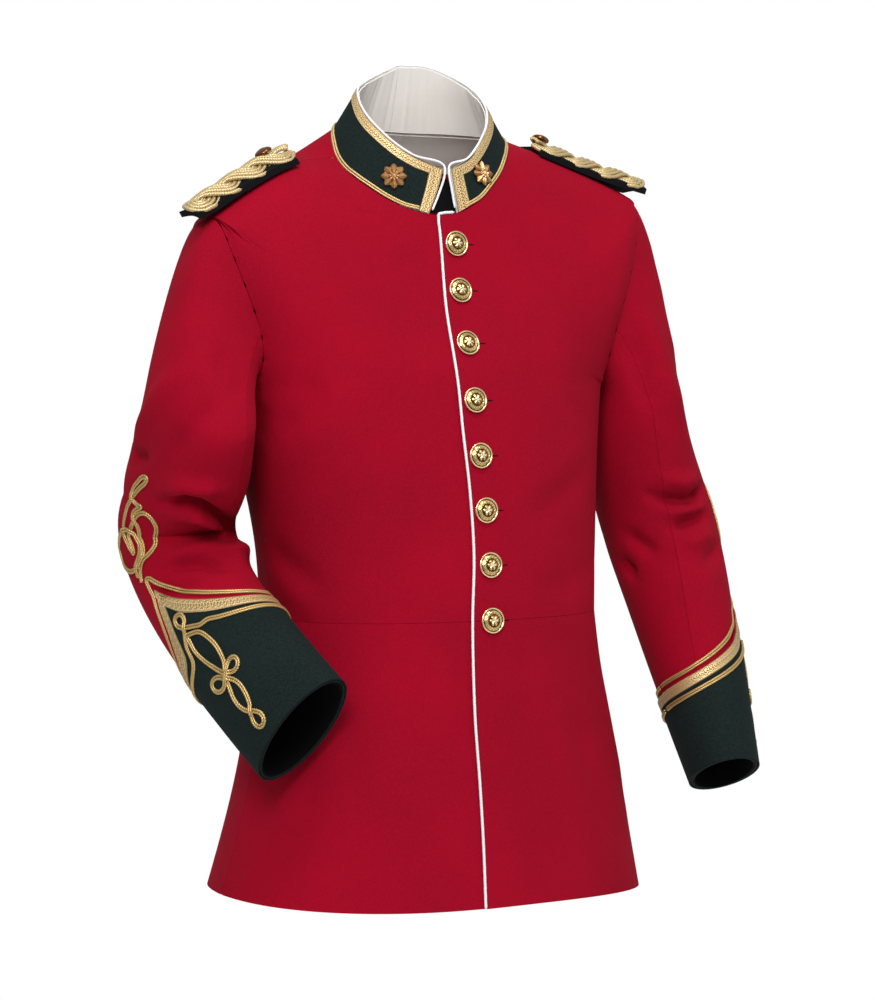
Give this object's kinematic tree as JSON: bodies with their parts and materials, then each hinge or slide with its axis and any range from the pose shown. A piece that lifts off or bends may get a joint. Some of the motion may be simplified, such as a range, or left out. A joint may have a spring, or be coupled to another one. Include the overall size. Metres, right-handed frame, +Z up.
{
  "type": "military dress tunic",
  "caption": "Scarlet military dress tunic worn on no one, hollow, with a green stand collar and cuffs, gold lace, braid knots, shoulder cords and a buttoned front.",
  "frame": {"origin": "middle of the neck seam, at the height of the side neck points, where a wearer's neck holds the garment", "axes": "+X to the wearer's left, the buttoned front faces -Y, +Z up"},
  "size_m": [0.6563, 0.3375, 0.8411],
  "materials": {
    "scarlet_cloth": "napped wool melton",
    "green_cloth": "napped wool facing",
    "cream_lining": "matt cotton",
    "black_lining": "matt cotton",
    "strap_cloth": "matt wool",
    "white_piping": "corded cotton",
    "gold_lace": "woven gilt wire",
    "gilt_metal": "polished gilt"
  },
  "bodies": {
    "root": {"back_left": "scarlet_cloth", "back_neck_lining": "cream_lining", "back_right": "scarlet_cloth", "button_1": "gilt_metal", "button_2": "gilt_metal", "button_3": "gilt_metal", "button_4": "gilt_metal", "button_5": "gilt_metal", "button_6": "gilt_metal", "button_7": "gilt_metal", "button_8": "gilt_metal", "collar_badge_left": "gilt_metal", "collar_badge_right": "gilt_metal", "collar_braid": "gold_lace", "collar_lace_left": "gold_lace", "collar_lace_right": "gold_lace", "collar_left": "green_cloth", "collar_lining_left": "cream_lining", "collar_lining_right": "cream_lining", "collar_piping": "white_piping", "collar_right": "green_cloth", "collar_tongue": "black_lining", "cuff_braid_left": "gold_lace", "cuff_braid_right": "gold_lace", "cuff_knot_left": "gold_lace", "cuff_knot_right": "gold_lace", "cuff_lace_left": "gold_lace", "cuff_lace_right": "gold_lace", "cuff_left": "green_cloth", "cuff_lining_left": "black_lining", "cuff_lining_right": "black_lining", "cuff_right": "green_cloth", "front_left": "scarlet_cloth", "front_piping": "white_piping", "front_right": "scarlet_cloth", "shoulder_backing_left": "strap_cloth", "shoulder_backing_right": "strap_cloth", "shoulder_button_left": "gilt_metal", "shoulder_button_right": "gilt_metal", "shoulder_cord_left": "gold_lace", "shoulder_cord_right": "gold_lace", "skirt_back_left": "scarlet_cloth", "skirt_back_right": "scarlet_cloth", "skirt_front_left": "scarlet_cloth", "skirt_front_right": "scarlet_cloth", "sleeve_braid_left": "gold_lace", "sleeve_braid_right": "gold_lace", "sleeve_knot_left": "gold_lace", "sleeve_knot_right": "gold_lace", "top_sleeve_left": "scarlet_cloth", "top_sleeve_right": "scarlet_cloth", "under_sleeve_left": "scarlet_cloth", "under_sleeve_right": "scarlet_cloth"}
  },
  "joints": []
}
